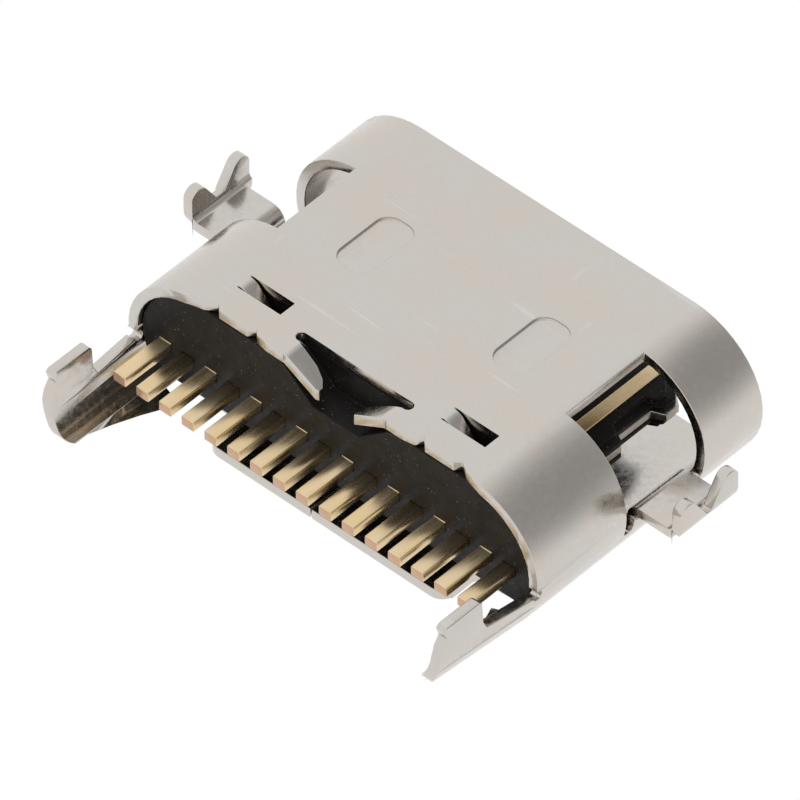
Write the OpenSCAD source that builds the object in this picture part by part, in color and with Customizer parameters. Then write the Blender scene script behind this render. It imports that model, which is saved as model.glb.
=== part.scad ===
// USB-C receptacle for a cut-out board: one stamped and rolled steel shell with
// four soldering legs, a moulded housing, a tongue of two inserts around a steel
// mid plate, and sixteen contacts whose tails leave in one row.
// X runs across the socket, +Y points out of the plug mouth, +Z is up.
// The origin is the middle of the footprint, on the plane the shell lies on.
// Working coordinates: y = 0 at the rear rim of the shell, z = 0 at mid height.

/* [Shell] */
// Outside width of the tube
shell_w = 8.94; // [8.7:0.02:9.4]
// Outside height of the tube
shell_h = 3.0; // [2.9:0.02:3.3]
// Thickness of the sheet
sheet_t = 0.2; // [0.16:0.01:0.22]
// Depth of the tube from its rear rim to the mouth
shell_depth = 5.4; // [5.2:0.05:7]
// How far the floor of the shell runs out behind the rim
lip_reach = 0.19; // [0.1:0.01:0.3]
// Width of that floor lip
lip_w = 5.24; // [4.6:0.02:5.6]
// Depth of the open corners beside the lip, from the rim
corner_y = 0.62; // [0.5:0.02:0.7]
// Distance from the middle to the outer edge of those corners
corner_x = 3.86; // [3.7:0.02:3.9]
// Width of the slit where the rolled sheet meets itself
seam_gap = 0.03; // [0.02:0.005:0.06]
// Place of the seam across the floor
seam_x = -0.3; // [-0.8:0.05:0.8]

/* [Rear rim] */
// Distance of the inner notches from the middle
notch_in_x = 1.82; // [1.7:0.01:1.95]
// Distance of the outer notches from the middle
notch_out_x = 2.65; // [2.55:0.01:2.8]
// Depth of the notches behind the edge between them
notch_depth = 0.11; // [0.06:0.01:0.16]
// Step of the top plate back from the rim
rim_step = 0.1; // [0.05:0.01:0.14]

/* [Horns] */
// Distance of the horn bend lines from the middle
horn_x = 1.12; // [1:0.01:1.2]
// Distance of the horn tips from the middle
horn_tip_x = 0.37; // [0.3:0.01:0.6]
// Angle by which the horns bend down
horn_angle = 30; // [20:1:36]
// Half length of the slot behind the horns
slot_half = 1.25; // [1.2:0.01:1.35]
// Far edge of the slot, from the rim
slot_far = 0.66; // [0.6:0.01:0.72]

/* [Lances] */
// Distance from the middle to the near end of a lance window
lance_x = 1.75; // [1.65:0.01:1.85]
// Length of a lance window
lance_len = 0.94; // [0.85:0.01:1]
// Near edge of the lance windows, from the rim
lance_y = 0.69; // [0.66:0.01:0.75]
// Width of a lance window
lance_w = 0.35; // [0.3:0.01:0.4]
// Angle by which a lance bends down
lance_angle = 50; // [35:1:60]
// Length of the bent lance
lance_reach = 0.66; // [0.5:0.01:0.7]

/* [Pressed pads] */
// Distance of the pad centres from the middle
pad_x = 1.7; // [1.5:0.01:1.9]
// Place of the pad centres, from the rim
pad_y = 2.9; // [2.6:0.05:3.4]
// Width of a pad
pad_w = 0.72; // [0.5:0.01:0.8]
// Length of a pad
pad_len = 1.4; // [1.1:0.05:1.6]
// Depth to which a pad is pressed
pad_depth = 0.05; // [0.03:0.01:0.08]

/* [Front legs] */
// Rear edge of the side windows, from the rim
window_y0 = 2.12; // [2.05:0.01:2.16]
// Front edge of the side windows, from the rim
window_y1 = 4.0; // [3.9:0.01:4.1]
// Distance from the middle to the top edge of a side window
window_x = 3.14; // [3.1:0.01:3.3]
// Height of the window slots' ends above mid height
window_end_z = -0.45; // [-0.5:0.01:-0.42]
// Rear edge of the arm, from the rim
arm_y0 = 2.33; // [2.3:0.01:2.4]
// Front edge of the arm, from the rim
arm_y1 = 3.54; // [3.45:0.01:3.6]
// Height of the arm's upper face above mid height
arm_z = 0.1; // [0.05:0.01:0.15]
// Distance from the middle to the outer face of the upright plate
paddle_x = 5.43; // [5.3:0.01:5.6]
// Length of the upright plate
paddle_len = 1.38; // [1.3:0.01:1.4]
// Height of its lobes above mid height
paddle_top = 0.67; // [0.55:0.01:0.7]
// Height of the floor of the notch between its lobes
paddle_notch_z = 0.14; // [0.12:0.01:0.25]

/* [Rear legs] */
// Reach of the legs behind the rim
leg_reach = 2.14; // [2:0.02:2.3]
// Height of the neck above mid height
neck_z = -0.2; // [-0.25:0.01:-0.15]
// Height of the lobe above mid height
lobe_top = 0.5; // [0.4:0.01:0.55]
// Distance from the rim to the hook of the lobe
hook_y = 1.02; // [0.95:0.01:1.05]
// Height of the leg's lower edge at its end
leg_low_z = -0.92; // [-0.95:0.01:-0.85]
// Height of the leg's lower edge at the rim
leg_root_z = -1.22; // [-1.25:0.01:-1.15]

/* [Housing] */
// Depth of the housing wall that the plug stops at, from the rim
wall_y = 1.2; // [1.15:0.01:1.3]
// Depth of the housing's rear face, from the rim
rear_face = 0.1; // [0.05:0.01:0.2]
// Height of the lower edge of that face above mid height
recess_z = -0.75; // [-0.85:0.01:-0.6]
// Depth of the recess under that edge, from the rim
recess_y = 0.7; // [0.6:0.01:0.72]
// Depth of the thick collar around the root of the tongue, from the rim
collar_y = 1.9; // [1.85:0.01:1.95]
// Width of the collar
collar_w = 7.0; // [6.9:0.02:7.2]
// Height of the collar
collar_h = 1.5; // [1.3:0.02:1.6]
// Clearance between housing and shell
shell_gap = 0.02; // [0.01:0.005:0.03]

/* [Tongue] */
// Distance of the tongue's tip behind the mouth
tip_set_back = 0.55; // [0.4:0.05:0.8]
// Width of the tongue
tongue_w = 6.69; // [6.6:0.01:6.8]
// Thickness of the tongue without its contacts
tongue_t = 0.64; // [0.62:0.01:0.66]
// Thickness of the steel mid plate
plate_t = 0.15; // [0.12:0.01:0.17]
// Depth of the latch notches in the tongue's sides
latch_depth = 0.18; // [0.15:0.01:0.25]
// Distance of the latch notches' front end behind the tongue's tip
latch_back = 0.71; // [0.65:0.01:0.8]
// Length of the latch notches
latch_len = 0.8; // [0.7:0.01:0.9]
// How far the mid plate's hooks stand out of the moulding
hook_stand = 0.07; // [0.03:0.01:0.1]
// Thickness of the outer layer of the tongue that is set in at the edges
edge_t = 0.12; // [0.08:0.01:0.16]
// Distance by which it is set in
edge_inset = 0.11; // [0.06:0.01:0.14]

/* [Contacts] */
// Pitch of the contacts
pitch = 0.5; // [0.5:0.05:0.5]
// Thickness of a contact
contact_t = 0.2; // [0.16:0.01:0.2]
// Width of a contact on the tongue and of its tail
contact_w = 0.27; // [0.22:0.01:0.3]
// How far the contacts stand out of the tongue
contact_stand = 0.03; // [0.01:0.01:0.04]
// Distance of the ground and power contacts' ends behind the tongue's tip
contact_set_back = 0.15; // [0.15:0.01:0.3]
// Distance of the signal contacts' ends behind it
signal_set_back = 0.5; // [0.35:0.05:0.6]
// Reach of the tails behind the rim
tail_reach = 0.98; // [0.8:0.02:1.1]
// Height of the tails' soldering face above mid height
tail_z = 0; // [-0.02:0.01:0.02]

/* [Hidden] */
$fn = 64;
ROWS = ["upper", "lower"];

eps = 0.01;                                // overshoot of cuts
big = 20;                                  // longer than the whole socket
steel = [0.80, 0.79, 0.77];
lcp_black = [0.10, 0.10, 0.10];
gold = [0.86, 0.76, 0.52];

tube_r = shell_h / 2;                      // outer radius of the rounded sides
arc_x = shell_w / 2 - tube_r;              // centres of the rounded sides
bore_r = tube_r - sheet_t;
bend_in = 0.08;                            // inner radius of the tight bends
bend_out = bend_in + sheet_t;

leg_end_y = -leg_reach;
leg_arc = 80;                              // the rounded wall that the rear legs are cut from
origin_shift = (leg_reach - shell_depth) / 2;

tip_y = shell_depth - tip_set_back;
beam_top = tongue_t / 2 + contact_stand;   // outer face of the contacts, from mid height
latch_y1 = tip_y - latch_back;
latch_y0 = latch_y1 - latch_len;

// Beam places of the eight contacts of a row, in pitches from the middle, left to
// right, and the tail places that they jog to. The lower row is the upper row
// turned about Y, so its places are the same list with the signs changed.
BEAM_PLACES = [-5.5, -2.5, -1.5, -0.5, 0.5, 1.5, 2.5, 5.5];
TAIL_PLACES = [-7.5, -5.5, -3.5, -1.5, 0.5, 2.5, 4.5, 6.5];
SIGNALS = [3, 4, 5, 6];                    // the contacts of a row that end further back
jog_y0 = 0.55;                             // the contacts jog sideways between these
jog_y1 = 1.85;
drop_y0 = rear_face;                       // and drop to the tail row between these,
drop_y1 = drop_y0 + 0.36;                  // the tails' flats ending at the rear face

// ---- helpers ------------------------------------------------------------------

// Puts the working coordinates into the part's frame.
module place() {
    translate([0, origin_shift, tube_r]) children();
}

// Extrudes an X-Z outline along Y from y0 to y1.
module along_y(y0, y1) {
    translate([0, y1, 0]) rotate([90, 0, 0]) linear_extrude(y1 - y0) children();
}

// Extrudes a Y-Z outline along X from x0 to x1.
module along_x(x0, x1) {
    translate([x0, 0, 0]) rotate([90, 0, 90]) linear_extrude(x1 - x0) children();
}

// Extrudes an X-Y outline up from z0 to z1.
module along_z(z0, z1) {
    translate([0, 0, z0]) linear_extrude(z1 - z0) children();
}

// Keeps the original and adds its mirror image in the plane x = 0.
module both_sides() {
    children();
    mirror([1, 0, 0]) children();
}

// Outline with straight top and bottom and fully rounded sides.
module stadium(w, h) {
    square([w - h, h], center = true);
    for (side = [-1, 1]) translate([side * (w - h) / 2, 0]) circle(h / 2);
}

// Rectangle from corner to corner.
module rect(a, b) {
    translate(a) square([b[0] - a[0], b[1] - a[1]]);
}

// Rectangle from corner to corner with rounded corners.
module round_rect(a, b, r) {
    rect([a[0] + r, a[1]], [b[0] - r, b[1]]);
    rect([a[0], a[1] + r], [b[0], b[1] - r]);
    for (x = [a[0] + r, b[0] - r], y = [a[1] + r, b[1] - r]) translate([x, y]) circle(r);
}

// Part of a ring between two angles that are less than half a turn apart.
module ring_sector(r_in, r_out, a0, a1) {
    reach = 4 * r_out;
    mid = (a0 + a1) / 2;
    intersection() {
        difference() {
            circle(r_out);
            circle(r_in);
        }
        polygon([[0, 0], reach * [cos(a0), sin(a0)], reach * [cos(mid), sin(mid)],
            reach * [cos(a1), sin(a1)]]);
    }
}

// Side view of a strip of sheet whose upper face starts at the origin, runs in +X,
// turns down by the angle and runs on for the given length.
module bent_strip(angle, r_in, length) {
    translate([0, -sheet_t - r_in]) {
        ring_sector(r_in, r_in + sheet_t, 90 - angle, 90);
        rotate(-angle) rect([0, r_in], [length, r_in + sheet_t]);
    }
    rect([-eps, -sheet_t], [eps, 0]);
}

// ---- shell --------------------------------------------------------------------

// The rolled tube with the longer floor.
module tube() {
    along_y(0, shell_depth) difference() {
        stadium(shell_w, shell_h);
        stadium(shell_w - 2 * sheet_t, shell_h - 2 * sheet_t);
    }
    lip_r = 0.3;
    along_z(-tube_r, -tube_r + sheet_t) intersection() {
        round_rect([-lip_w / 2, -lip_reach], [lip_w / 2, 1], lip_r);
        rect([-lip_w / 2, -lip_reach], [lip_w / 2, 0.5]);
    }
}

// Cuts of the top plate along the rear rim, seen from above: the step between the
// legs and the four notches with flanks of 45 degrees.
module rim_cut_outline() {
    edge = rim_step;
    apex = edge + notch_depth;
    polygon([
        [-notch_out_x - 0.55, -1], [-notch_out_x - 0.55, 0],
        [-notch_out_x - 0.2, edge - 0.02], [-notch_out_x, apex],
        [-notch_out_x + notch_depth, edge],
        [-notch_in_x - notch_depth, edge], [-notch_in_x, apex],
        [-notch_in_x + notch_depth, edge], [-notch_in_x + 0.35, edge - 0.04],
        [notch_in_x - 0.35, edge - 0.04], [notch_in_x - notch_depth, edge],
        [notch_in_x, apex], [notch_in_x + notch_depth, edge],
        [notch_out_x - notch_depth, edge], [notch_out_x, apex],
        [notch_out_x + 0.2, edge - 0.02], [notch_out_x + 0.55, 0],
        [notch_out_x + 0.55, -1]]);
}

// Slot behind the horns and the open space between them, seen from above.
module horn_space_outline() {
    end_r = 0.1;
    rect([-horn_x, -1], [horn_x, slot_far]);
    for (side = [-1, 1]) translate([side * (slot_half - end_r), slot_far - end_r]) circle(end_r);
    rect([-slot_half + end_r, slot_far - 2 * end_r], [slot_half - end_r, slot_far]);
}

// One horn, on the +X side: a tapering tongue of sheet bent down into the housing.
module horn() {
    reach = (horn_x - horn_tip_x) / cos(horn_angle);
    rim = rim_step - 0.04;
    intersection() {
        along_y(-0.1, slot_far) translate([horn_x, tube_r]) mirror([1, 0])
            bent_strip(horn_angle, bend_in, reach);
        along_z(0, tube_r + eps) polygon([
            [horn_x + 0.1, rim], [horn_tip_x + 0.05, rim + 0.02], [horn_tip_x, rim + 0.06],
            [horn_tip_x, rim + 0.15], [horn_tip_x + 0.1, rim + 0.26],
            [horn_tip_x + 0.3, rim + 0.34], [horn_x - 0.1, rim + 0.37],
            [horn_x, rim + 0.4], [horn_x + 0.1, rim + 0.47]]);
    }
}

// One lance: a strip left on one short side of its window and bent down.
module lance() {
    along_y(lance_y + 0.03, lance_y + lance_w - 0.03)
        translate([0, tube_r]) bent_strip(lance_angle, bend_in, lance_reach);
}

// Dovetail seam of the rolled sheet, seen from below.
module seam_outline() {
    tab_y0 = 2.2;
    tab_y1 = 3.4;
    tab_w = 0.8;
    flare = 0.15;
    difference() {
        union() {
            rect([seam_x, -1], [seam_x + seam_gap, shell_depth + 1]);
            polygon([[seam_x, tab_y0], [seam_x + tab_w, tab_y0 - flare],
                [seam_x + tab_w, tab_y1 + flare], [seam_x, tab_y1]]);
        }
        polygon([[seam_x - eps, tab_y0 + seam_gap], [seam_x + tab_w - seam_gap, tab_y0 - flare + seam_gap],
            [seam_x + tab_w - seam_gap, tab_y1 + flare - seam_gap], [seam_x - eps, tab_y1 - seam_gap]]);
    }
}

// Opening in the side of the tube around the front leg, seen from the side.
module side_window_outline() {
    slot_r = 0.1;
    flap_z = arm_z - bend_out;
    polygon([[window_y0 + 0.14, big], [window_y1, big], [window_y1, flap_z], [window_y0, flap_z],
        [window_y0, 0.2]]);
    round_rect([window_y0, window_end_z], [arm_y0, flap_z + 0.2], slot_r);
    round_rect([arm_y1, window_end_z], [window_y1, flap_z + 0.2], slot_r);
}

// Side view of the upright plate: two round lobes and the notch between them, whose
// flanks leave the lobes' circles at 30 degrees from level.
module paddle_outline(y0, y1) {
    lobe_r = 0.19;
    lobe_z = paddle_top - lobe_r;
    notch_y = (y0 + y1) / 2;
    floor_half = 0.05;
    low = arm_z - sheet_t;
    near_r = 0.25;
    far_r = 0.1;
    flank = lobe_r * [cos(30), sin(30)];
    for (y = [y0 + lobe_r, y1 - lobe_r]) translate([y, lobe_z]) circle(lobe_r);
    polygon([[y0, low + near_r], [y0, lobe_z], [y0 + lobe_r + flank[0], lobe_z + flank[1]],
        [notch_y - floor_half, paddle_notch_z], [notch_y + floor_half, paddle_notch_z],
        [y1 - lobe_r - flank[0], lobe_z + flank[1]], [y1, lobe_z], [y1, low + far_r],
        [y1 - far_r, low], [y0 + near_r, low]]);
    translate([y0 + near_r, low + near_r]) circle(near_r);
    translate([y1 - far_r, low + far_r]) circle(far_r);
}

// Front leg on the +X side: the flap of the window bent out into an arm and up into
// a plate with two lobes.
module front_leg() {
    flap_z = arm_z - bend_out;
    wall_x = arc_x + tube_r;
    rise_r = 0.12;
    paddle_y0 = arm_y0 + 0.01;
    paddle_y1 = paddle_y0 + paddle_len;
    intersection() {
        along_y(paddle_y0, paddle_y1) {
            translate([wall_x + bend_in, flap_z]) ring_sector(bend_in, bend_out, 90, 180);
            rect([wall_x + bend_in - eps, arm_z - sheet_t],
                [paddle_x - sheet_t - rise_r + eps, arm_z]);
            translate([paddle_x - sheet_t - rise_r, arm_z + rise_r])
                ring_sector(rise_r, rise_r + sheet_t, 270, 360);
            rect([paddle_x - sheet_t, arm_z + rise_r - eps], [paddle_x, paddle_top]);
        }
        union() {
            along_x(wall_x - 1, paddle_x - sheet_t)
                rect([arm_y0, -tube_r], [arm_y1, arm_z + rise_r]);
            along_x(paddle_x - sheet_t - rise_r / 2, paddle_x + eps)
                paddle_outline(paddle_y0, paddle_y1);
        }
    }
}

// Side view of a rear leg: neck, lobe with its hook, and the tapering lower edge.
module rear_leg_outline() {
    end_y = leg_end_y;
    lobe_r = 0.06;
    corner_r = 0.3;
    heel = end_y + 0.1;
    hook_front = -hook_y - 0.13;
    difference() {
        union() {
            polygon([[0.3, neck_z], [-hook_y, neck_z], [-hook_y - 0.1, neck_z + 0.2],
                [hook_front, lobe_top - lobe_r], [hook_front - lobe_r, lobe_top],
                [heel + lobe_r, lobe_top], [heel, lobe_top - lobe_r], [heel + 0.06, lobe_top - 0.25],
                [heel - 0.05, lobe_top - 0.42], [end_y, lobe_top - 0.62],
                [end_y, leg_low_z + corner_r], [end_y + corner_r, leg_low_z],
                [0.3, leg_root_z - 0.05]]);
            translate([end_y + corner_r, leg_low_z + corner_r]) circle(corner_r);
        }
        // relief beside the root, where the neck leaves the rim
        translate([0.02, neck_z + 0.02]) circle(0.09);
    }
}

// Rear leg on the +X side, cut from the same rounded wall as the tube.
module rear_leg() {
    intersection() {
        along_y(leg_end_y - eps, 0.1) {
            translate([arc_x, 0]) ring_sector(bore_r, tube_r, -leg_arc, 0);
            rect([arc_x + bore_r, -eps], [arc_x + tube_r, tube_r]);
        }
        along_x(arc_x, big) rear_leg_outline();
    }
}

// Pressed pad: sunk outside, standing out inside by the same depth.
module pad_outline() {
    pad_r = 0.28;
    round_rect([pad_x - pad_w / 2, pad_y - pad_len / 2], [pad_x + pad_w / 2, pad_y + pad_len / 2], pad_r);
}

module shell() {
    color(steel) place() {
        difference() {
            union() {
                tube();
                both_sides() along_z(bore_r - pad_depth, bore_r + eps) pad_outline();
            }
            along_z(0, big) rim_cut_outline();
            along_z(0, big) horn_space_outline();
            along_z(-tube_r - 1, 0) seam_outline();
            both_sides() along_z(-tube_r - 1, 0) round_rect([lip_w / 2, -1], [corner_x, corner_y], 0.15);
            for (x = [-lance_x - lance_len, lance_x])
                along_z(0, big) rect([x, lance_y], [x + lance_len, lance_y + lance_w]);
            both_sides() {
                along_x(window_x, big) side_window_outline();
                along_z(tube_r - pad_depth, big) pad_outline();
                // relief in the rim above the rear leg's neck
                along_x(arc_x, big) translate([0.02, neck_z + 0.02]) circle(0.09);
            }
        }
        both_sides() {
            horn();
            front_leg();
            rear_leg();
        }
        for (x = [-lance_x - lance_len, lance_x]) translate([x, 0, 0]) lance();
    }
}

// ---- mouldings ----------------------------------------------------------------

// Tongue seen from above, from y0 forward, with its latch notches. In front of them
// each side stands out by hook. The whole edge is set in by inset.
module tongue_outline(y0, hook = 0, inset = 0) {
    half = tongue_w / 2 - inset;
    tip = tip_y - inset;
    front = half + hook;
    waist = half - latch_depth;
    nose = 0.3;
    ramp = 0.1;
    polygon([[-half, y0], [half, y0], [half, latch_y0 - ramp], [waist, latch_y0],
        [waist, latch_y1], [front, latch_y1 + ramp], [front, tip - nose], [half - nose, tip],
        [nose - half, tip], [-front, tip - nose], [-front, latch_y1 + ramp],
        [-waist, latch_y1], [-waist, latch_y0], [-half, latch_y0 - ramp]]);
}

insert_y0 = 0.95;                          // the inserts reach this far into the housing
plate_y0 = 0.75;                           // and the mid plate this far

module housing_body() {
    difference() {
        union() {
            along_y(rear_face, wall_y) stadium(shell_w - 2 * (sheet_t + shell_gap),
                shell_h - 2 * (sheet_t + shell_gap));
            along_y(wall_y - eps, collar_y)
                round_rect([-collar_w / 2, -collar_h / 2], [collar_w / 2, collar_h / 2], 0.3);
        }
        horn_pocket();
        along_z(-tube_r, recess_z) rect([-shell_w / 2, -1], [shell_w / 2, recess_y]);
        for (x = [-lance_x - lance_len, lance_x])
            along_z(tube_r - 0.85, big)
                rect([x - 0.03, lance_y - 0.03], [x + lance_len + 0.03, lance_y + lance_w + 0.03]);
        // bed of the two inserts
        along_z(-tongue_t / 2, tongue_t / 2) rect([-tongue_w / 2, insert_y0], [tongue_w / 2, big]);
    }
}

// Pocket in the top of the housing that takes the two horns.
module horn_pocket() {
    room = 0.04;
    drop = (horn_x - horn_tip_x) * tan(horn_angle) + sheet_t / cos(horn_angle) + room;
    low = tube_r - drop - 0.12;
    along_y(-1, slot_far) polygon([
        [-slot_half, tube_r], [-slot_half, bore_r - 0.05], [-horn_x, bore_r - 0.09], [-0.5, low],
        [0.5, low], [horn_x, bore_r - 0.09], [slot_half, bore_r - 0.05], [slot_half, tube_r]]);
}

module housing() {
    color(lcp_black) place() difference() {
        housing_body();
        along_z(-plate_t / 2, plate_t / 2) rect([-tongue_w / 2, plate_y0], [tongue_w / 2, insert_y0 + eps]);
        for (row = ROWS, n = [1:8]) contact_solid(row, n);
    }
}

// One half of the tongue: the upper one, above the mid plate.
module insert_solid(row) {
    turn_row(row) {
        along_z(plate_t / 2, tongue_t / 2 - edge_t) tongue_outline(insert_y0);
        along_z(plate_t / 2, tongue_t / 2) {
            rect([-tongue_w / 2, insert_y0], [tongue_w / 2, collar_y]);
            tongue_outline(insert_y0, inset = edge_inset);
        }
    }
}

module insert(row) {
    color(lcp_black) place() difference() {
        insert_solid(row);
        for (n = [1:8]) contact_solid(row, n);
    }
}

module upper_insert() insert("upper");
module lower_insert() insert("lower");

// Steel plate between the inserts; its hooks stand out of the tongue's sides.
module mid_plate() {
    front = tip_y - 0.1;
    color(steel) place() along_z(-plate_t / 2, plate_t / 2) intersection() {
        tongue_outline(plate_y0, hook_stand);
        rect([-big, plate_y0], [big, front]);
    }
}

// ---- contacts -----------------------------------------------------------------

// Turns the upper row's shapes about Y for the lower row.
module turn_row(row) {
    if (row == "upper") children();
    else rotate([0, 180, 0]) children();
}

// Strip of a contact seen from above: tail, jog and beam.
module contact_outline(beam_x, tail_x, beam_end_y) {
    half = contact_w / 2;
    rect([tail_x - half, -tail_reach], [tail_x + half, jog_y0]);
    polygon([[tail_x - half, jog_y0], [tail_x + half, jog_y0],
        [beam_x + half, jog_y1], [beam_x - half, jog_y1]]);
    rect([beam_x - half, jog_y1], [beam_x + half, beam_end_y]);
}

// Side view of a contact: beam on the tongue, drop to the tail row, tail. The
// tail's soldering face is at tail_top.
module contact_side(tail_top) {
    low = beam_top - contact_t;
    polygon([[-tail_reach, tail_top], [drop_y0, tail_top], [drop_y1, beam_top],
        [tip_y, beam_top], [tip_y, low], [drop_y1 + 0.05, low],
        [drop_y0 + 0.05, tail_top - contact_t], [-tail_reach, tail_top - contact_t]]);
}

// One contact; n counts from the left in the upper row and from the right in the
// lower one.
module contact_solid(row, n) {
    upper = row == "upper";
    set_back = len(search(n, SIGNALS)) > 0 ? signal_set_back : contact_set_back;
    turn_row(row) intersection() {
        along_z(-1, 1) contact_outline(
            BEAM_PLACES[n - 1] * pitch, TAIL_PLACES[n - 1] * pitch, tip_y - set_back);
        along_x(-big, big) contact_side(upper ? tail_z : contact_t - tail_z);
    }
}

module contact(row, n) {
    color(gold) place() contact_solid(row, n);
}

module upper_contact_1() contact("upper", 1);
module upper_contact_2() contact("upper", 2);
module upper_contact_3() contact("upper", 3);
module upper_contact_4() contact("upper", 4);
module upper_contact_5() contact("upper", 5);
module upper_contact_6() contact("upper", 6);
module upper_contact_7() contact("upper", 7);
module upper_contact_8() contact("upper", 8);
module lower_contact_1() contact("lower", 1);
module lower_contact_2() contact("lower", 2);
module lower_contact_3() contact("lower", 3);
module lower_contact_4() contact("lower", 4);
module lower_contact_5() contact("lower", 5);
module lower_contact_6() contact("lower", 6);
module lower_contact_7() contact("lower", 7);
module lower_contact_8() contact("lower", 8);

shell();
housing();
upper_insert();
lower_insert();
mid_plate();
upper_contact_1();
upper_contact_2();
upper_contact_3();
upper_contact_4();
upper_contact_5();
upper_contact_6();
upper_contact_7();
upper_contact_8();
lower_contact_1();
lower_contact_2();
lower_contact_3();
lower_contact_4();
lower_contact_5();
lower_contact_6();
lower_contact_7();
lower_contact_8();
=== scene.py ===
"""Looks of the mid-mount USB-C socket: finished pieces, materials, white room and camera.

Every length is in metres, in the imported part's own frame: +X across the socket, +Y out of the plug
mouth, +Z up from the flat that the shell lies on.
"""

import logging
import math
from dataclasses import dataclass
from enum import Enum

import bpy
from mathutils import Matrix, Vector


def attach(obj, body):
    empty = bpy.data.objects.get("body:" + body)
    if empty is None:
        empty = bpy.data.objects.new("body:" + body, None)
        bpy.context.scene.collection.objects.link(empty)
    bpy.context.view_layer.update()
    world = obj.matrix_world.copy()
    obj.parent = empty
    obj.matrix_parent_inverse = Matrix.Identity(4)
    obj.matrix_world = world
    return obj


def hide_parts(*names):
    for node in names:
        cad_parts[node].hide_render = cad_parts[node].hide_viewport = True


logging.basicConfig(level=logging.INFO, format="%(message)s")
LOG = logging.getLogger("socket")

MM = 0.001
ROWS = ("upper", "lower")
CONTACTS_A_ROW = 8
SHELL_EDGE = 0.016 * MM
MOULDED_EDGE = 0.02 * MM
CONTACT_EDGE = 0.02 * MM
PLATE_EDGE = 0.012 * MM

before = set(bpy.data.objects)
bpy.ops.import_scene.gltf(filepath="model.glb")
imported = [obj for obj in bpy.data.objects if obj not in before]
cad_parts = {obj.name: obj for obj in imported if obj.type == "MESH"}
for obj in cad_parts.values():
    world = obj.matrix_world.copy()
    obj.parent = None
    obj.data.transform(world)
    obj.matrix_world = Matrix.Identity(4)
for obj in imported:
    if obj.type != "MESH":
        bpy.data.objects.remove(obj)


class Slot(Enum):
    """The record's material slots."""

    SHELL = "shell_steel"
    PLATE = "plate_steel"
    MOULDING = "black_moulding"
    CONTACT = "contact_gold"


# ---- node helpers ---------------------------------------------------------------


class Graph:
    """Short calls that add nodes to a shader or group tree, left to right."""

    def __init__(self, tree: bpy.types.NodeTree) -> None:
        """Args:
            tree: the node tree that the calls add to.
        """
        self.tree = tree

    def add(self, kind: str, **settings) -> bpy.types.Node:
        """Adds a node.

        Args:
            kind: the node's type name.
            settings: its properties, by name.

        Returns:
            The new node.
        """
        node = self.tree.nodes.new(kind)
        for name, value in settings.items():
            setattr(node, name, value)
        return node

    def put(self, socket: bpy.types.NodeSocket, value) -> None:
        """Feeds a socket from another socket, or sets its constant.

        Args:
            socket: the input.
            value: an output socket, or a plain value.
        """
        if isinstance(value, bpy.types.NodeSocket):
            self.tree.links.new(value, socket)
        else:
            socket.default_value = value

    def math(self, operation: str, a, b=None, clamp: bool = False) -> bpy.types.NodeSocket:
        """Adds a Math node.

        Args:
            operation: the node's operation.
            a: first input, a socket or a number.
            b: second input, if the operation has one.
            clamp: keeps the result between 0 and 1.

        Returns:
            Its output.
        """
        node = self.add("ShaderNodeMath", operation=operation, use_clamp=clamp)
        self.put(node.inputs[0], a)
        if b is not None:
            self.put(node.inputs[1], b)
        return node.outputs[0]

    def ramp(self, value, low: float, high: float, to_low: float = 0.0, to_high: float = 1.0,
             smooth: bool = True) -> bpy.types.NodeSocket:
        """Maps a value from one range to another, clamped.

        Args:
            value: the input socket.
            low: start of the input range.
            high: end of the input range.
            to_low: result at the start.
            to_high: result at the end.
            smooth: eases in and out.

        Returns:
            The mapped value.
        """
        node = self.add("ShaderNodeMapRange", interpolation_type="SMOOTHSTEP" if smooth else "LINEAR")
        node.inputs["From Min"].default_value = low
        node.inputs["From Max"].default_value = high
        node.inputs["To Min"].default_value = to_low
        node.inputs["To Max"].default_value = to_high
        self.put(node.inputs["Value"], value)
        return node.outputs["Result"]

    def noise(self, vector, scale: float, detail: float = 2.0, roughness: float = 0.5,
              stretch: tuple[float, float, float] = (1.0, 1.0, 1.0)) -> bpy.types.NodeSocket:
        """Adds fractal noise.

        Args:
            vector: where it is read, in metres.
            scale: cells per metre.
            detail: octaves.
            roughness: strength of the finer octaves.
            stretch: factor on the scale along each axis.

        Returns:
            Noise around 0.5.
        """
        mapping = self.add("ShaderNodeMapping")
        mapping.inputs["Scale"].default_value = stretch
        self.put(mapping.inputs["Vector"], vector)
        node = self.add("ShaderNodeTexNoise")
        node.inputs["Scale"].default_value = scale
        node.inputs["Detail"].default_value = detail
        node.inputs["Roughness"].default_value = roughness
        self.put(node.inputs["Vector"], mapping.outputs["Vector"])
        return node.outputs["Fac"]

    def mix(self, factor, a, b, blend: str = "MIX") -> bpy.types.NodeSocket:
        """Mixes two colours.

        Args:
            factor: a socket or a number.
            a: first colour.
            b: second colour.
            blend: the blend type.

        Returns:
            The mixed colour.
        """
        node = self.add("ShaderNodeMix", data_type="RGBA", blend_type=blend)
        self.put(node.inputs[0], factor)
        self.put(node.inputs[6], a)
        self.put(node.inputs[7], b)
        return node.outputs[2]

    def bump(self, height, strength: float, distance: float, normal=None) -> bpy.types.NodeSocket:
        """Turns a height into a normal.

        Args:
            height: the height socket, 0 to 1.
            strength: how far it is applied.
            distance: the height's full travel in metres.
            normal: another bump's normal to build on.

        Returns:
            The bumped normal.
        """
        node = self.add("ShaderNodeBump")
        node.inputs["Strength"].default_value = strength
        node.inputs["Distance"].default_value = distance
        self.put(node.inputs["Height"], height)
        if normal is not None:
            self.put(node.inputs["Normal"], normal)
        return node.outputs["Normal"]


def object_place(graph: Graph) -> bpy.types.NodeSocket:
    """Object coordinates, which are the part's own metres.

    Args:
        graph: the tree.

    Returns:
        The coordinate socket.
    """
    return graph.add("ShaderNodeTexCoord").outputs["Object"]


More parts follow.
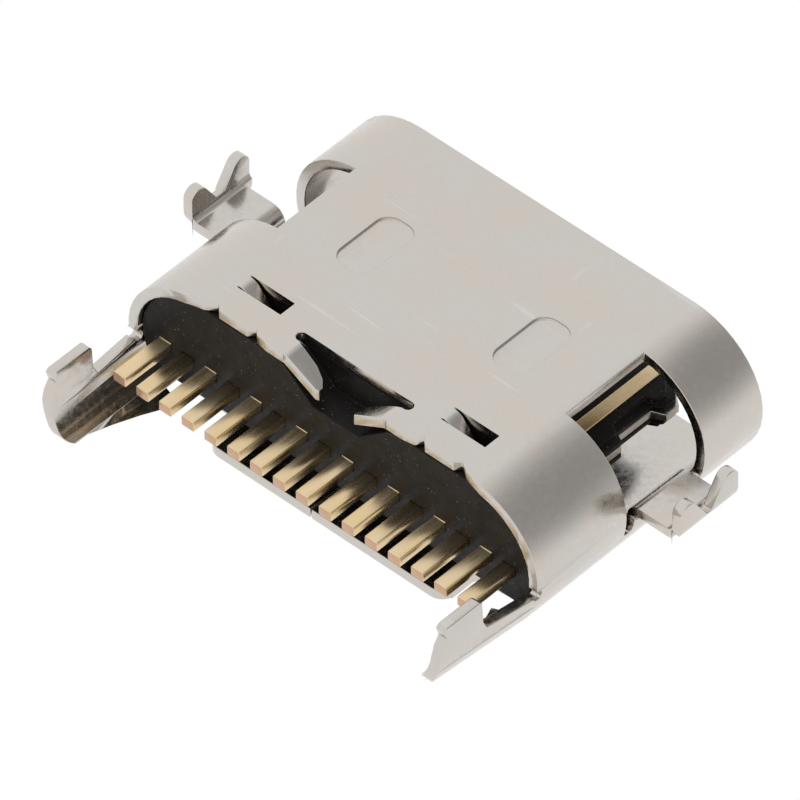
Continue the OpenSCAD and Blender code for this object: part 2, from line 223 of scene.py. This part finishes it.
def new_material(name: str) -> tuple[bpy.types.Material, Graph, bpy.types.Node]:
    """Makes a material that holds one Principled shader.

    Args:
        name: the material's name.

    Returns:
        The material, its graph and the shader.
    """
    material = bpy.data.materials.new(name)
    material.use_nodes = True
    tree = material.node_tree
    tree.nodes.clear()
    graph = Graph(tree)
    shader = graph.add("ShaderNodeBsdfPrincipled")
    output = graph.add("ShaderNodeOutputMaterial")
    graph.put(output.inputs["Surface"], shader.outputs["BSDF"])
    return material, graph, shader


# ---- materials ------------------------------------------------------------------


@dataclass(frozen=True)
class WornSurface:
    """A shared group that gives patches, fine grain and short scratches as plain values."""

    name: str = "worn surface"

    def tree(self) -> bpy.types.NodeTree:
        """Builds the group, or finds it if it is there.

        Returns:
            The group's tree, with the inputs Place, Patch Scale and Grain Scale.
        """
        found = bpy.data.node_groups.get(self.name)
        if found is not None:
            return found
        tree = bpy.data.node_groups.new(self.name, "ShaderNodeTree")
        tree.interface.new_socket("Place", in_out="INPUT", socket_type="NodeSocketVector")
        for name in ("Patch Scale", "Grain Scale"):
            tree.interface.new_socket(name, in_out="INPUT", socket_type="NodeSocketFloat")
        for name in ("Patches", "Grain", "Scratches"):
            tree.interface.new_socket(name, in_out="OUTPUT", socket_type="NodeSocketFloat")
        graph = Graph(tree)
        given, result = graph.add("NodeGroupInput"), graph.add("NodeGroupOutput")
        patches = graph.add("ShaderNodeTexNoise")
        patches.inputs["Detail"].default_value = 3.0
        grain = graph.add("ShaderNodeTexNoise")
        grain.inputs["Roughness"].default_value = 0.6
        for node, scale in ((patches, "Patch Scale"), (grain, "Grain Scale")):
            graph.put(node.inputs["Vector"], given.outputs["Place"])
            graph.put(node.inputs["Scale"], given.outputs[scale])
        lines = graph.noise(given.outputs["Place"], 7000.0, detail=2.0, stretch=(1.0, 0.08, 1.0))
        crossed = graph.noise(given.outputs["Place"], 5200.0, detail=2.0, stretch=(0.1, 1.0, 1.0))
        graph.put(result.inputs["Patches"], patches.outputs["Fac"])
        graph.put(result.inputs["Grain"], grain.outputs["Fac"])
        graph.put(result.inputs["Scratches"], graph.ramp(graph.math("MAXIMUM", lines, crossed), 0.68, 0.78))
        return tree

    def add(self, graph: Graph, place: bpy.types.NodeSocket, patch_scale: float,
            grain_scale: float) -> bpy.types.Node:
        """Places the group in a material.

        Args:
            graph: the material's graph.
            place: where it is read.
            patch_scale: patches per metre.
            grain_scale: grains per metre.

        Returns:
            The group node, with the outputs Patches, Grain and Scratches.
        """
        node = graph.add("ShaderNodeGroup", node_tree=self.tree())
        graph.put(node.inputs["Place"], place)
        node.inputs["Patch Scale"].default_value = patch_scale
        node.inputs["Grain Scale"].default_value = grain_scale
        return node


@dataclass(frozen=True)
class SteelFinish:
    """Satin stainless sheet, tumbled after stamping."""

    name: str
    colour: tuple[float, float, float, float] = (0.585, 0.56, 0.525, 1.0)
    warm: tuple[float, float, float, float] = (0.6, 0.555, 0.505, 1.0)
    scratch: tuple[float, float, float, float] = (0.72, 0.69, 0.65, 1.0)
    scratch_share: float = 0.35
    roughness: float = 0.22
    grain_scale: float = 9000.0
    patch_scale: float = 900.0

    def build(self) -> bpy.types.Material:
        """Makes the material.

        Returns:
            The steel.
        """
        material, graph, shader = new_material(self.name)
        place = object_place(graph)
        worn = WornSurface().add(graph, place, self.patch_scale, self.grain_scale)
        patches, grain, scratches = (worn.outputs[name] for name in ("Patches", "Grain", "Scratches"))
        tint = graph.mix(graph.ramp(patches, 0.35, 0.65), self.colour, self.warm)
        tint = graph.mix(graph.math("MULTIPLY", scratches, self.scratch_share), tint, self.scratch)
        graph.put(shader.inputs["Base Color"], tint)
        shader.inputs["Metallic"].default_value = 1.0
        graph.put(shader.inputs["Roughness"],
                  graph.ramp(grain, 0.3, 0.7, self.roughness - 0.05, self.roughness + 0.06))
        graph.put(shader.inputs["Normal"], graph.bump(grain, 0.12, 0.004 * MM))
        return material


@dataclass(frozen=True)
class MouldingFinish:
    """Black glass-filled moulding with fine pale fibre ends."""

    name: str
    colour: tuple[float, float, float, float] = (0.006, 0.005, 0.0045, 1.0)
    speck: tuple[float, float, float, float] = (0.18, 0.17, 0.16, 1.0)
    roughness: float = 0.42
    specular: float = 0.16
    speck_scale: float = 26000.0
    flow_scale: float = 4000.0

    def build(self) -> bpy.types.Material:
        """Makes the material.

        Returns:
            The moulding's plastic.
        """
        material, graph, shader = new_material(self.name)
        place = object_place(graph)
        fine = graph.noise(place, self.speck_scale, detail=1.0)
        soft = graph.noise(place, self.flow_scale, detail=3.0)
        specks = graph.ramp(fine, 0.72, 0.78)
        graph.put(shader.inputs["Base Color"], graph.mix(specks, self.colour, self.speck))
        shader.inputs["Specular IOR Level"].default_value = self.specular
        graph.put(shader.inputs["Roughness"],
                  graph.ramp(soft, 0.3, 0.7, self.roughness - 0.06, self.roughness + 0.08))
        graph.put(shader.inputs["Normal"], graph.bump(soft, 0.2, 0.006 * MM))
        return material


@dataclass(frozen=True)
class GoldFinish:
    """Gold plating on the contacts, with bare copper at the cut ends that face the rear."""

    name: str
    colour: tuple[float, float, float, float] = (0.74, 0.57, 0.33, 1.0)
    pale: tuple[float, float, float, float] = (0.79, 0.64, 0.42, 1.0)
    cut: tuple[float, float, float, float] = (0.58, 0.38, 0.25, 1.0)
    roughness: float = 0.26
    drawn_scale: float = 9000.0

    def build(self) -> bpy.types.Material:
        """Makes the material.

        Returns:
            The plating.
        """
        material, graph, shader = new_material(self.name)
        place = object_place(graph)
        drawn = graph.noise(place, self.drawn_scale, detail=3.0, stretch=(1.0, 0.12, 1.0))
        plated = graph.mix(graph.ramp(drawn, 0.35, 0.7), self.colour, self.pale)
        faces_back = graph.add("ShaderNodeVectorMath", operation="DOT_PRODUCT")
        graph.put(faces_back.inputs[0], graph.add("ShaderNodeNewGeometry").outputs["True Normal"])
        faces_back.inputs[1].default_value = (0.0, -1.0, 0.0)
        bare = graph.ramp(faces_back.outputs["Value"], 0.75, 0.95)
        graph.put(shader.inputs["Base Color"], graph.mix(bare, plated, self.cut))
        shader.inputs["Metallic"].default_value = 1.0
        graph.put(shader.inputs["Roughness"],
                  graph.ramp(drawn, 0.3, 0.7, self.roughness - 0.05, self.roughness + 0.06))
        graph.put(shader.inputs["Normal"], graph.bump(drawn, 0.15, 0.003 * MM))
        return material


# ---- pieces ---------------------------------------------------------------------


def select_only(piece: bpy.types.Object) -> None:
    """Makes a piece the one selected and active object.

    Args:
        piece: the object.
    """
    bpy.ops.object.select_all(action="DESELECT")
    piece.select_set(True)
    bpy.context.view_layer.objects.active = piece


@dataclass(frozen=True)
class LegLean:
    """A rear leg that leans in toward the middle behind the shell's side."""

    side: int
    travel: float
    root_y: float = -1.63 * MM
    run: float = 0.9 * MM
    outside_x: float = 3.9 * MM

    def apply(self, piece: bpy.types.Object) -> None:
        """Moves the leg's points in, more with their distance from its root.

        Args:
            piece: the shell's copy.
        """
        for vertex in piece.data.vertices:
            if vertex.co.x * self.side > self.outside_x and vertex.co.y < self.root_y:
                share = min((self.root_y - vertex.co.y) / self.run, 1.0)
                vertex.co.x -= self.side * self.travel * share


@dataclass
class FinishedPiece:
    """A merged copy of a CAD node with rounded edges, which stands for that node."""

    node: str
    slot: Slot
    edge_round: float
    segments: int = 2
    sharp_angle: float = math.radians(36)
    leans: tuple[LegLean, ...] = ()

    def build(self, material: bpy.types.Material) -> bpy.types.Object:
        """Copies, merges and rounds the node's shape.

        Args:
            material: the piece's material.

        Returns:
            The piece, riding on the part's one body.
        """
        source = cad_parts[self.node]
        piece = source.copy()
        piece.data = source.data.copy()
        for key in list(piece.keys()):
            del piece[key]
        piece.name = piece.data.name = f"finished_{self.node}"
        piece.parent = None
        bpy.context.scene.collection.objects.link(piece)
        piece.data.materials.clear()
        piece.data.materials.append(material)
        for lean in self.leans:
            lean.apply(piece)
        select_only(piece)
        bpy.ops.object.mode_set(mode="EDIT")
        bpy.ops.mesh.select_all(action="SELECT")
        bpy.ops.mesh.customdata_custom_splitnormals_clear()
        bpy.ops.mesh.remove_doubles(threshold=0.0003 * MM)
        bpy.ops.mesh.dissolve_limited(angle_limit=math.radians(0.5), delimit=set())
        bpy.ops.object.mode_set(mode="OBJECT")
        bevel = piece.modifiers.new("edge rounding", "BEVEL")
        bevel.width = self.edge_round
        bevel.segments = self.segments
        bevel.limit_method = "ANGLE"
        bevel.angle_limit = self.sharp_angle
        bevel.use_clamp_overlap = False
        bpy.ops.object.modifier_apply(modifier=bevel.name)
        bpy.ops.object.shade_smooth()
        weighted = piece.modifiers.new("flat faces stay flat", "WEIGHTED_NORMAL")
        weighted.mode = "FACE_AREA"
        weighted.weight = 100
        bpy.ops.object.modifier_apply(modifier=weighted.name)
        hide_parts(self.node)
        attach(piece, "root")
        LOG.info("finished %s: %d faces", self.node, len(piece.data.polygons))
        return piece


# ---- stage ----------------------------------------------------------------------


@dataclass(frozen=True)
class DimSide:
    """A soft darker part of the white room, around one direction."""

    direction: tuple[float, float, float]
    loss: float
    edge: float
    core: float = 1.0

    def shade(self, graph: Graph, direction: bpy.types.NodeSocket) -> bpy.types.NodeSocket:
        """Builds the factor by which the room is darker there.

        Args:
            graph: the world's graph.
            direction: the direction that is looked at.

        Returns:
            1 outside the dim part, 1 minus loss at its middle.
        """
        along = graph.add("ShaderNodeVectorMath", operation="DOT_PRODUCT")
        graph.put(along.inputs[0], direction)
        along.inputs[1].default_value = Vector(self.direction).normalized()
        return graph.ramp(along.outputs["Value"], self.edge, self.core, 1.0, 1.0 - self.loss)


@dataclass(frozen=True)
class Stage:
    """White room and the camera."""

    camera_place: tuple[float, float, float] = (0.130778, -0.142945, 0.195989)
    camera_azimuth: float = 42.455
    camera_elevation: float = 45.104
    lens: float = 767.4
    dim_sides: tuple[DimSide, ...] = (DimSide((0.614, 0.521, 0.593), loss=0.6, edge=0.5),)

    def build_world(self) -> None:
        """A world that shows white and lights the socket at a plain level."""
        world = bpy.data.worlds.new("white room")
        bpy.context.scene.world = world
        world.use_nodes = True
        graph = Graph(world.node_tree)
        world.node_tree.nodes.clear()
        direction = graph.add("ShaderNodeTexCoord").outputs["Generated"]
        room = 1.0
        for side in self.dim_sides:
            room = graph.math("MULTIPLY", room, side.shade(graph, direction))
        seen = graph.add("ShaderNodeLightPath").outputs["Is Camera Ray"]
        shader = graph.add("ShaderNodeBackground")
        shader.inputs["Color"].default_value = (1.0, 1.0, 1.0, 1.0)
        graph.put(shader.inputs["Strength"], graph.math("MAXIMUM", seen, room))
        output = graph.add("ShaderNodeOutputWorld")
        graph.put(output.inputs["Surface"], shader.outputs["Background"])

    def build_camera(self) -> None:
        """The camera, a long lens that looks down at the rear right corner."""
        data = bpy.data.cameras.new("camera")
        data.lens = self.lens
        data.sensor_width = 36.0
        data.clip_start = 0.01
        data.clip_end = 2.0
        camera = bpy.data.objects.new("camera", data)
        camera.location = self.camera_place
        tilt, turn = math.radians(90 - self.camera_elevation), math.radians(self.camera_azimuth)
        camera.rotation_euler = (tilt, 0.0, turn)
        bpy.context.scene.collection.objects.link(camera)
        bpy.context.scene.camera = camera

    def build(self) -> None:
        """Sets up everything around the socket."""
        self.build_world()
        self.build_camera()
        bpy.context.scene.view_settings.view_transform = "Standard"


def main() -> None:
    """Builds the finished socket and its stage."""
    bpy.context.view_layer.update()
    steel = SteelFinish("tumbled steel").build()
    plate = SteelFinish("mid plate steel", roughness=0.34).build()
    moulding = MouldingFinish("black moulding").build()
    gold = GoldFinish("contact gold").build()
    leans = (LegLean(side=-1, travel=0.09 * MM), LegLean(side=1, travel=0.15 * MM))
    FinishedPiece("shell", Slot.SHELL, edge_round=SHELL_EDGE, segments=3, leans=leans).build(steel)
    FinishedPiece("housing", Slot.MOULDING, edge_round=MOULDED_EDGE).build(moulding)
    for row in ROWS:
        FinishedPiece(f"{row}_insert", Slot.MOULDING, edge_round=MOULDED_EDGE).build(moulding)
        for number in range(1, CONTACTS_A_ROW + 1):
            FinishedPiece(f"{row}_contact_{number}", Slot.CONTACT, edge_round=CONTACT_EDGE).build(gold)
    FinishedPiece("mid_plate", Slot.PLATE, edge_round=PLATE_EDGE).build(plate)
    Stage().build()


if __name__ == "__main__":
    main()
